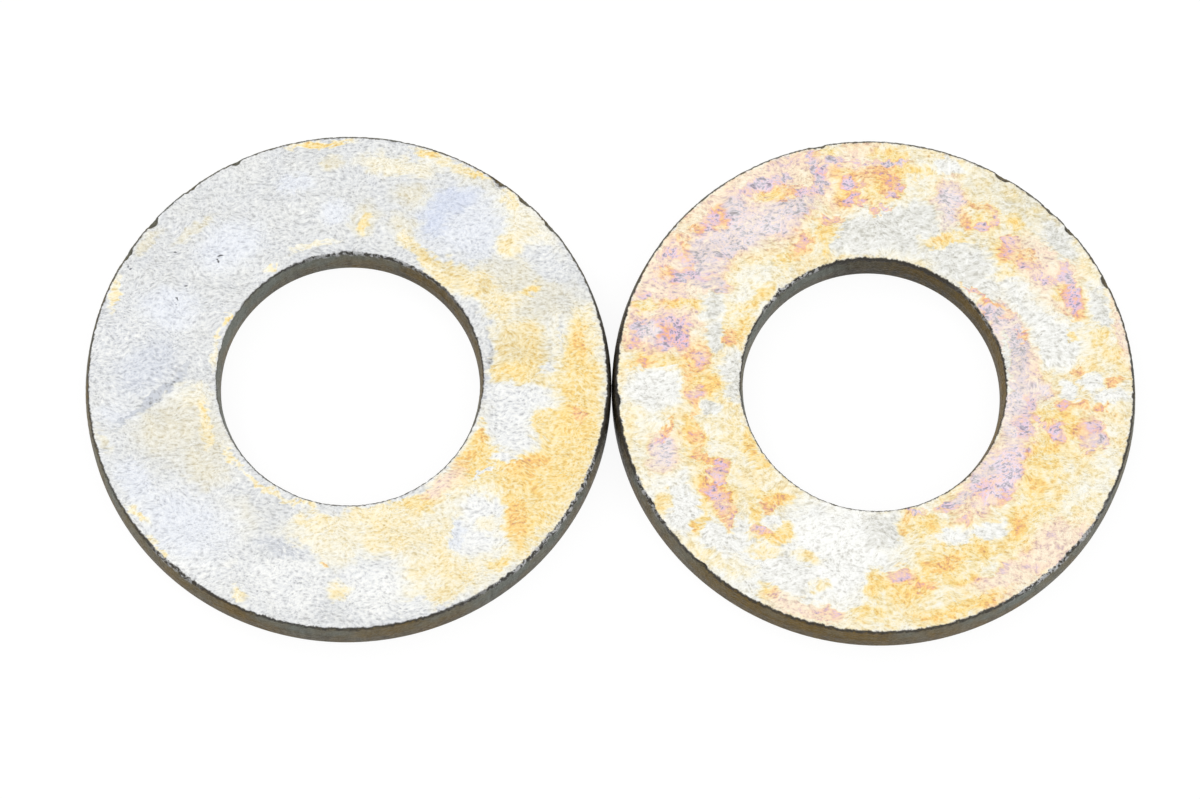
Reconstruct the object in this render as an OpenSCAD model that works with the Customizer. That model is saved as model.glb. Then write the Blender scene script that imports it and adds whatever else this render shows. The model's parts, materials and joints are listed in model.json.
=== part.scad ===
// A pair of flat washers punched from sheet steel, lying side by side.
// Each one is a single piece. The punch and die leave four zones on its edges,
// from the underside up: a rolled-in edge, a smooth sheared band, a torn wall
// that leans back, and a worn rim at the top face. The nicks are where a knock
// took the edge off the rim.
// The origin is on the resting plane, midway between the two washers.

/* [Washer] */
// Outside diameter, across the sheared band
outer_d = 33.6; // [26:0.1:44]
// Hole diameter, across the sheared band
bore_d = 16.6; // [10:0.1:21]
// Thickness of the sheet
thickness = 2.4; // [2:0.1:4]
// Clear space between the two washers where they come closest
side_gap = 0.02; // [0.01:0.01:3]

/* [Punched edges] */
// Width of the rolled-in edge on the underside
roll_w = 0.35; // [0.1:0.05:0.6]
// Height of the rolled-in edge on the underside
roll_h = 0.2; // [0.1:0.05:0.4]
// Height of the smooth sheared band above the rolled-in edge
band_h = 1.1; // [0.4:0.05:1.2]
// How far the torn wall leans back between the sheared band and the rim
tear_w = 0.13; // [0.02:0.01:0.3]
// Height of the worn rim, below the top face
rim_h = 0.2; // [0.05:0.01:0.3]
// Width of the worn rim round the outside
outer_rim_w = 0.27; // [0.05:0.01:0.5]
// Width of the worn rim round the hole
bore_rim_w = 0.2; // [0.05:0.01:0.5]

/* [Hole placement] */
// How far the left washer's hole is off centre, to the right
left_hole_x = 0.08; // [-0.4:0.01:0.4]
// How far the left washer's hole is off centre, to the back
left_hole_y = 0.05; // [-0.4:0.01:0.4]
// How far the right washer's hole is off centre, to the right
right_hole_x = -0.11; // [-0.4:0.01:0.4]
// How far the right washer's hole is off centre, to the back
right_hole_y = -0.07; // [-0.4:0.01:0.4]

/* [Hidden] */

outer_r = outer_d / 2;
bore_r = bore_d / 2;
band_top = roll_h + band_h;
rim_bottom = thickness - rim_h;

// Each nick is [angle round the washer, bite into the face past the rim, radius of the scoop]
LEFT_NICKS = [
    [55, 0.4, 0.65],
    [47.5, 0.1, 0.9],
    [40, 0.05, 1.6],
    [117, 0.1, 0.5],
    [129, 0.02, 1.2],
    [140.5, 0.2, 0.7],
    [150, 0.05, 1.3],
    [230, 0.1, 0.8],
    [320, 0.05, 1.5],
    [333, 0.08, 1.1],
];
RIGHT_NICKS = [
    [59, 0.15, 0.8],
    [46, 0.04, 1.5],
    [39.5, 0.08, 1],
    [25, 0.2, 0.7],
    [102, 0.04, 1.2],
    [184.5, 0.2, 0.6],
    [209, 0.05, 1.4],
    [228, 0.08, 1],
    [317, 0.1, 0.9],
];
// Slant, from level, at which a knock takes the edge off
NICK_TILT = 25;

STEEL_GREY = [0.84, 0.84, 0.82];
PALE_GOLD = [0.90, 0.82, 0.66];

ARC_STEPS = 6;
// How far a cutter passes beyond the face that it opens
PAST = 1;
$fn = 180;

// Points of a quarter ellipse from the first angle to the second, as [radius, height]
function edge_arc(centre, reach, height, from, to) = [
    for (i = [0:ARC_STEPS])
        let (a = from + (to - from) * i / ARC_STEPS)
            [centre[0] + reach * cos(a), centre[1] + height * sin(a)]
];

// The outside of the blank, before the hole is punched
module blank() {
    tear_r = outer_r - tear_w;
    rotate_extrude()
        polygon(concat(
            [[0, 0]],
            edge_arc([outer_r - roll_w, roll_h], roll_w, roll_h, 270, 360),
            [[outer_r, band_top]],
            edge_arc([tear_r - outer_rim_w, rim_bottom], outer_rim_w, rim_h, 0, 90),
            [[0, thickness]]
        ));
}

// The space that the punch leaves, a little longer than the sheet is thick
module punched_hole() {
    tear_r = bore_r + tear_w;
    rotate_extrude()
        polygon(concat(
            [[0, -PAST], [bore_r + roll_w, -PAST]],
            edge_arc([bore_r + roll_w, roll_h], roll_w, roll_h, 270, 180),
            [[bore_r, band_top]],
            edge_arc([tear_r + bore_rim_w, rim_bottom], bore_rim_w, rim_h, 180, 90),
            [[tear_r + bore_rim_w, thickness + PAST], [0, thickness + PAST]]
        ));
}

// A scooped nick in the top edge of the outside rim
module rim_nick(angle, bite, radius) {
    reach = tear_w + outer_rim_w + bite;
    rotate([0, 0, angle])
        translate([
            outer_r - reach + radius * cos(NICK_TILT),
            0,
            thickness + radius * sin(NICK_TILT)
        ])
            sphere(r = radius, $fn = 48);
}

module punched_washer(hole_shift, nicks) {
    difference() {
        blank();
        translate([hole_shift[0], hole_shift[1], 0])
            punched_hole();
        for (nick = nicks)
            rim_nick(nick[0], nick[1], nick[2]);
    }
}

module left_washer() {
    color(STEEL_GREY)
        translate([-(outer_d + side_gap) / 2, 0, 0])
            punched_washer([left_hole_x, left_hole_y], LEFT_NICKS);
}

module right_washer() {
    color(PALE_GOLD)
        translate([(outer_d + side_gap) / 2, 0, 0])
            punched_washer([right_hole_x, right_hole_y], RIGHT_NICKS);
}

left_washer();
right_washer();
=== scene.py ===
"""Looks of a pair of punched and plated flat washers that lie side by side on a pale table.

Lengths are millimetres in every list, mesh and pattern here. A finished mesh is scaled to metres.
"""

import json
import math

import bmesh
import bpy
from mathutils import Matrix, Vector, noise


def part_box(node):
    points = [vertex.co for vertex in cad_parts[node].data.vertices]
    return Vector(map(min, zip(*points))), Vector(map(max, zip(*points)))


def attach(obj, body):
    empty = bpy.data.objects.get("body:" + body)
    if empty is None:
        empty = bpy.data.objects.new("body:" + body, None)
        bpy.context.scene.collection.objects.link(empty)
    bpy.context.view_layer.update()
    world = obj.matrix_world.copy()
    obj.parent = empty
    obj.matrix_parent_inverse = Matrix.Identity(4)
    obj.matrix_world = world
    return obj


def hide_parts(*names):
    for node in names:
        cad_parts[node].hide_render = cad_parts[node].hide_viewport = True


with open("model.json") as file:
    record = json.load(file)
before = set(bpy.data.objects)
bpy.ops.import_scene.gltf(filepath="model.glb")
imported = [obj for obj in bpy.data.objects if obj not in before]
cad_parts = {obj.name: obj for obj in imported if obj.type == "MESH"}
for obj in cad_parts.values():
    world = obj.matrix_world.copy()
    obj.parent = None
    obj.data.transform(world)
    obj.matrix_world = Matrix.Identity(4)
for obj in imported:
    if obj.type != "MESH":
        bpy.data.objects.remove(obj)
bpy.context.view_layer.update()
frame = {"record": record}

MM = 0.001

# Section of a punched washer, as in the CAD source
ROLL_WIDTH = 0.35
ROLL_HEIGHT = 0.2
BAND_TOP = 1.3
TEAR_WIDTH = 0.13
RIM_HEIGHT = 0.2
OUTER_RIM_WIDTH = 0.27
BORE_RIM_WIDTH = 0.2

# Fineness of the mesh, and the width of the face's borders, where it is finer
SECTORS = 30
SECTOR_STEPS = 36
ROLL_STEPS = 4
BAND_STEPS = 5
TEAR_STEPS = 9
RIM_STEPS = 8
BORDER_WIDTH = 0.8
BORDER_STEPS = 9
FACE_STEPS = 8
UNDERSIDE_STEPS = 8

# Each nick is (angle round the washer, bite into the face past the rim, radius of the scoop)
LEFT_NICKS = [
    (55, 0.4, 0.65),
    (47.5, 0.1, 0.9),
    (40, 0.05, 1.6),
    (117, 0.1, 0.5),
    (129, 0.02, 1.2),
    (140.5, 0.2, 0.7),
    (150, 0.05, 1.3),
    (230, 0.1, 0.8),
    (320, 0.05, 1.5),
    (333, 0.08, 1.1),
]
RIGHT_NICKS = [
    (59, 0.15, 0.8),
    (46, 0.04, 1.5),
    (39.5, 0.08, 1.0),
    (25, 0.2, 0.7),
    (102, 0.04, 1.2),
    (184.5, 0.2, 0.6),
    (209, 0.05, 1.4),
    (228, 0.08, 1.0),
    (317, 0.1, 0.9),
]
NICK_TILT = math.radians(25)
# How rough a nick is, as a share of its radius, how long its bumps are, and from which share on it can reach
NICK_ROUGHNESS = 0.12
NICK_GRAIN = 0.3
NICKED_SHARE = 0.8

# Waves of the rims' tears, of their sag and of the torn walls' pits, as (length, height)
TEAR_WAVES = ((1.5, 0.07), (0.45, 0.06), (0.2, 0.05))
SAG_WAVES = ((1.1, 0.05), (0.3, 0.04))
PIT_WAVES = ((0.35, 0.05), (0.15, 0.03))

# Depths down the wall from the face's edge where each kind of wear starts, is full, fades and ends.
# A depth below zero lies on the face.
TORN_ZONE = (-0.35, -0.02, 0.35, 1.1)
SAGGING_ZONE = (-0.3, 0.12, 0.3, 0.8)
PITTED_ZONE = (0.05, 0.3, 0.9, 1.5)

# Each key of a wall is (angle round the washer, how torn its top is, how brown it is, how dark it is)
# The darkest outer keys, near 0 degrees on the left washer and near 180 on the right, are painted shade
# where the two washers meet.
LEFT_OUTER_WALL = [
    # Facing the right washer: the darkness here is painted shade of the contact
    (5, 0.8, 0.4, 0.9),
    (30, 0.3, 0.3, 0.3),
    (150, 0.3, 0.3, 0.3),
    (190, 0.5, 0.5, 0.1),
    (215, 0.6, 0.5, 0.05),
    (229, 1.2, 0.6, 0.1),
    (242, 0.8, 0.8, 0.1),
    (256, 0.7, 0.3, 0.1),
    (270, 0.7, 0.5, 0.1),
    (284, 0.8, 0.6, 0.1),
    (300, 1.0, 0.0, 0.1),
    (322, 1.3, 0.1, 0.05),
    (338, 1.3, 0.3, 0.15),
    # Facing the right washer: the darkness here is painted shade of the contact
    (352, 1.0, 0.4, 0.95),
]
LEFT_BORE_WALL = [
    (12, 0.7, 0.7, 0.2),
    (45, 1.0, 0.8, 0.25),
    (72, 1.1, 0.4, 0.15),
    (92, 1.2, 0.1, 0.05),
    (112, 1.0, 0.1, 0.1),
    (135, 0.6, 0.0, 0.0),
    (155, 0.2, 0.0, -0.2),
    (180, 0.3, 0.1, 0.0),
    (270, 0.5, 0.3, 0.2),
    (340, 0.4, 0.4, 0.1),
]
RIGHT_OUTER_WALL = [
    (30, 0.4, 0.3, 0.3),
    (90, 0.3, 0.3, 0.3),
    (150, 0.3, 0.4, 0.4),
    # Facing the left washer: the darkness here and at 194 degrees is painted shade of the contact
    (176, 0.9, 0.9, 0.95),
    (194, 1.0, 0.8, 0.75),
    (206, 1.1, 0.4, 0.15),
    (222, 0.9, 0.5, 0.05),
    (245, 0.8, 1.0, 0.1),
    (268, 0.9, 0.8, 0.1),
    (288, 0.8, 0.4, 0.05),
    (312, 1.2, 0.1, 0.05),
    (345, 0.8, 0.2, 0.1),
]
RIGHT_BORE_WALL = [
    (8, 0.8, 1.0, 0.1),
    (40, 1.1, 1.0, 0.25),
    (56, 1.7, 0.9, 0.35),
    (75, 1.3, 0.7, 0.5),
    (98, 1.5, 0.1, 0.6),
    (118, 1.4, 0.0, 0.15),
    (132, 1.7, 0.0, 0.1),
    (150, 0.9, 0.1, 0.0),
    (180, 0.6, 0.2, 0.0),
    (270, 0.5, 0.3, 0.2),
    (350, 0.6, 0.9, 0.1),
]

# A tint is (thickness of the passivation film, how fully it covers, how dull the zinc under it is).
# Each goes from 0 to 1, and a dullness well above 1 is scuffed or pitted metal; on the crease it is painted
# shade.
TINTS = {
    "bright": (0.2, 0.0, 0.08),
    "white": (0.2, 0.0, 0.28),
    "silver": (0.2, 0.05, 0.6),
    "grey": (0.15, 0.1, 0.8),
    # The crease: a blue film with a dark line that is painted shade of the crease
    "crease": (0.1, 0.4, 1.9),
    "blue": (0.0, 0.85, 0.2),
    "pale blue": (0.0, 0.42, 0.18),
    "slate blue": (0.0, 0.35, 0.65),
    "straw": (0.37, 0.55, 0.6),
    "cream": (0.38, 0.6, 0.1),
    "dim cream": (0.4, 0.6, 0.55),
    "pale gold": (0.47, 0.7, 0.1),
    "gold": (0.54, 0.9, 0.1),
    "dim gold": (0.52, 0.8, 0.5),
    "deep gold": (0.62, 0.95, 0.1),
    "orange": (0.71, 0.9, 0.1),
    "peach": (0.71, 0.42, 0.05),
    "pink": (0.81, 0.7, 0.2),
    "magenta": (0.85, 0.9, 0.3),
    "orchid": (0.9, 0.6, 0.0),
    "lilac": (0.87, 0.32, 0.3),
    "mauve": (0.9, 0.38, 0.65),
    "violet": (0.9, 0.75, 0.3),
    "slate": (0.95, 0.6, 0.6),
    "pit": (0.2, 0.0, 5.0),
    "scuff": (0.2, 0.0, 3.0),
}

# A patch is (tint, x, y, half length, half width, turn in degrees), from the washer's centre.
# Later ones lie on top.
LEFT_PATCHES = [
    # Back right, from the top round to the right
    ("cream", 3.0, 14.6, 2.6, 0.6, -5),
    ("straw", 8.3, 13.2, 2.2, 0.7, -42),
    ("pale gold", 6.6, 14.7, 1.5, 0.4, -22),
    ("gold", 4.9, 15.5, 0.9, 0.3, -15),
    ("gold", 8.3, 14.0, 0.9, 0.25, -35),
    ("straw", 4.2, 12.6, 1.4, 0.9, 0),
    ("cream", 11.0, 10.2, 2.6, 1.6, -50),
    ("straw", 11.0, 6.5, 3.4, 1.6, -20),
    ("pale gold", 10.3, 9.2, 0.9, 0.7, 60),
    ("pale gold", 10.2, 12.4, 0.4, 0.8, 20),
    ("silver", 12.6, 8.2, 1.3, 0.8, -50),
    ("pale blue", 7.1, 10.9, 2.3, 2.3, 0),
    ("blue", 6.4, 12.3, 1.5, 0.8, 10),
    ("blue", 5.4, 11.0, 0.8, 1.0, 0),
    ("pale blue", 8.0, 9.6, 1.1, 1.2, 0),
    ("straw", 0.9, 10.9, 0.9, 1.1, -10),
    ("gold", 0.8, 10.6, 0.3, 0.6, -15),
    ("straw", 3.3, 10.3, 0.9, 0.9, -30),
    ("pale gold", 3.6, 9.5, 0.8, 0.5, -30),
    ("dim gold", 4.9, 8.3, 1.3, 0.45, -35),
    ("dim gold", 6.5, 7.4, 1.1, 0.6, -30),
    ("pale gold", 5.8, 7.0, 1.6, 0.4, -42),
    ("pale gold", 8.2, 6.3, 1.4, 0.9, -25),
    ("dim gold", 8.6, 6.3, 0.6, 0.6, 0),
    ("pale gold", 9.8, 5.0, 1.2, 0.9, 0),
    ("gold", 11.4, 6.1, 0.6, 0.3, 20),
    ("straw", 12.0, 4.6, 1.4, 0.8, 0),
    ("grey", 8.9, 1.6, 0.25, 1.9, 0),
    ("scuff", 8.8, 1.6, 0.12, 1.7, -5),
    ("scuff", 8.7, -1.2, 0.2, 0.35, 0),
    # The gold block right of the hole, and the band outside it
    ("pale gold", 11.0, 3.2, 1.7, 1.0, 0),
    ("dim gold", 11.0, 1.3, 1.9, 1.9, 0),
    ("dim gold", 9.7, 0.7, 0.6, 1.3, 0),
    ("gold", 10.6, 0.6, 1.4, 0.6, 0),
    ("cream", 13.2, 2.2, 0.25, 2.0, 0),
    ("pale gold", 15.3, 0.8, 1.2, 3.6, 0),
    ("gold", 14.6, 1.5, 0.9, 2.8, 0),
    ("pale gold", 15.4, 3.6, 0.4, 1.2, 10),
    ("deep gold", 14.9, 2.6, 0.35, 1.1, 0),
    ("silver", 12.8, 0.8, 0.3, 0.3, 0),
    ("gold", 14.8, -0.4, 0.9, 1.0, 0),
    # Front right
    ("pale gold", 12.0, -5.6, 4.4, 4.4, 0),
    ("gold", 14.2, -2.0, 1.7, 3.0, 0),
    ("gold", 13.3, -4.6, 2.4, 2.4, -30),
    ("gold", 9.2, -5.2, 1.6, 1.6, 0),
    ("gold", 11.9, -6.8, 2.2, 1.6, -35),
    ("gold", 11.4, -8.6, 1.8, 2.0, -35),
    ("gold", 10.2, -11.0, 1.7, 1.0, -40),
    ("gold", 14.8, -2.6, 0.8, 1.4, 0),
    ("orange", 14.7, -2.3, 0.5, 0.5, 0),
    ("deep gold", 11.3, -5.7, 1.4, 0.6, 10),
    ("deep gold", 10.8, -8.2, 0.7, 1.5, 0),
    ("deep gold", 10.3, -10.8, 0.9, 0.6, 40),
    ("gold", 8.7, -4.6, 0.9, 1.8, -30),
    ("deep gold", 8.4, -3.5, 0.4, 0.6, 0),
    ("gold", 8.2, -6.6, 1.5, 0.8, 35),
    ("gold", 5.9, -7.6, 2.4, 0.7, 30),
    ("deep gold", 7.3, -5.6, 0.9, 0.35, 48),
    ("peach", 6.3, -6.9, 1.2, 0.7, 40),
    ("peach", 5.6, -7.4, 0.9, 0.4, 30),
    ("gold", 3.2, -8.6, 2.0, 0.5, 15),
    ("pale gold", 3.0, -10.2, 4.2, 1.4, 5),
    ("pale gold", 6.0, -12.4, 3.0, 1.6, 25),
    ("cream", 8.6, -12.8, 2.4, 1.0, 35),
    ("cream", 4.2, -14.2, 2.6, 1.0, 18),
    ("pale gold", 7.3, -12.8, 1.0, 0.9, 0),
    ("gold", 9.6, -12.2, 0.7, 0.4, 30),
    ("pale gold", 6.2, -14.4, 1.2, 0.5, 22),
    ("pale gold", 1.5, -9.2, 1.6, 0.5, 0),
    ("cream", 8.2, -9.4, 1.9, 2.4, 0),
    ("white", 8.6, -8.6, 1.1, 0.8, 0),
    ("white", 8.3, -10.2, 1.3, 1.2, 0),
    ("cream", 8.9, -9.6, 0.8, 0.6, 0),
    ("pale blue", 7.0, -10.2, 0.4, 0.7, 0),
    ("cream", 5.6, -9.0, 1.2, 0.3, 28),
    ("gold", 11.2, -8.4, 1.0, 1.8, 0),
    ("deep gold", 10.8, -9.4, 0.6, 1.4, 0),
    ("white", 10.7, -1.1, 2.2, 0.7, 0),
    ("white", 10.3, -2.4, 1.4, 1.0, 0),
    ("white", 10.5, -3.9, 1.3, 0.9, -10),
    ("white", 9.9, -5.2, 0.9, 0.3, -5),
    ("white", 8.6, -6.2, 0.6, 0.15, 30),
    ("gold", 12.6, -2.6, 0.8, 0.5, 20),
    ("white", 1.6, -13.6, 1.8, 1.6, 0),
    ("white", 3.2, -15.2, 2.0, 0.5, 8),
    # Front left
    ("cream", -1.5, -10.9, 2.4, 1.6, 0),
    ("pale gold", -1.4, -9.6, 1.6, 0.5, -8),
    ("pale gold", -0.4, -14.1, 0.7, 0.6, 0),
    ("orange", -1.4, -12.5, 0.2, 0.15, 0),
    ("white", -3.8, -13.6, 2.2, 1.6, -10),
    ("grey", -3.6, -11.4, 1.6, 0.5, -20),
    ("straw", -7.0, -9.4, 1.4, 1.2, -40),
    ("pale gold", -7.5, -12.2, 0.5, 0.3, 0),
    ("pale gold", -6.7, -14.3, 0.6, 0.3, -30),
    ("white", -9.6, -10.2, 3.4, 2.6, -40),
    ("pale blue", -10.2, -9.6, 2.8, 2.0, -30),
    ("pale blue", -13.4, -6.9, 1.4, 0.9, -50),
    ("pale gold", -13.2, -9.2, 0.25, 0.9, 38),
    ("pale gold", -11.9, -11.2, 0.25, 0.9, 44),
    ("straw", -10.6, -3.2, 2.9, 2.4, -20),
    ("straw", -8.8, -6.0, 1.4, 1.2, -40),
    ("cream", -10.3, -1.0, 1.4, 0.7, -10),
    ("pale gold", -9.1, -2.6, 0.35, 1.2, 5),
    ("gold", -9.0, -2.2, 0.15, 0.4, 0),
    ("pale gold", -8.8, -4.2, 0.35, 0.5, 0),
    ("pale blue", -14.4, -2.2, 1.2, 0.8, 0),
    ("straw", -15.5, -4.2, 0.35, 1.0, 20),
    ("pale gold", -7.3, -5.2, 0.2, 0.9, 36),
    ("pale gold", -5.3, -7.1, 1.4, 0.22, -38),
    ("pale gold", -2.9, -8.4, 1.2, 0.2, -18),
    # Back left
    ("silver", -13.4, 1.8, 2.8, 3.2, 0),
    ("slate blue", -12.9, 0.9, 2.2, 1.3, 42),
    # A blue streak along a crease, its dark line painted shade
    ("crease", -12.2, -1.1, 2.6, 0.24, 42),
    ("pale blue", -11.5, 4.6, 1.8, 1.4, 0),
    ("pale blue", -7.8, 9.0, 2.2, 1.4, 30),
    ("pale blue", -3.7, 13.4, 1.2, 0.6, 0),
    ("pale blue", -1.1, 11.3, 0.9, 0.8, 0),
    ("straw", -10.2, 10.1, 1.5, 0.35, 35),
    ("straw", -13.2, 9.2, 0.4, 1.1, -40),
    ("pale gold", -15.1, 5.6, 0.25, 1.2, -15),
    ("gold", -7.9, 3.9, 0.18, 0.5, -20),
    ("pale gold", -8.3, 2.9, 0.15, 0.3, 0),
    ("cream", -8.5, 1.4, 0.25, 1.0, 0),
    ("pale gold", -5.2, 7.3, 0.4, 0.15, 40),
    ("cream", -2.4, 9.0, 1.4, 0.2, 12),
    ("gold", -2.1, 16.0, 1.9, 0.25, 7),
    ("straw", -1.3, 14.8, 0.6, 0.5, 0),
    ("pit", -8.35, 8.3, 0.14, 0.11, 0),
    ("pit", -11.1, 8.7, 0.1, 0.09, 0),
    ("pit", -13.9, 7.3, 0.12, 0.1, 0),
    ("pit", -10.6, 6.4, 0.15, 0.12, 0),
    ("pit", -11.1, 5.2, 0.1, 0.09, 0),
]
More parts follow.
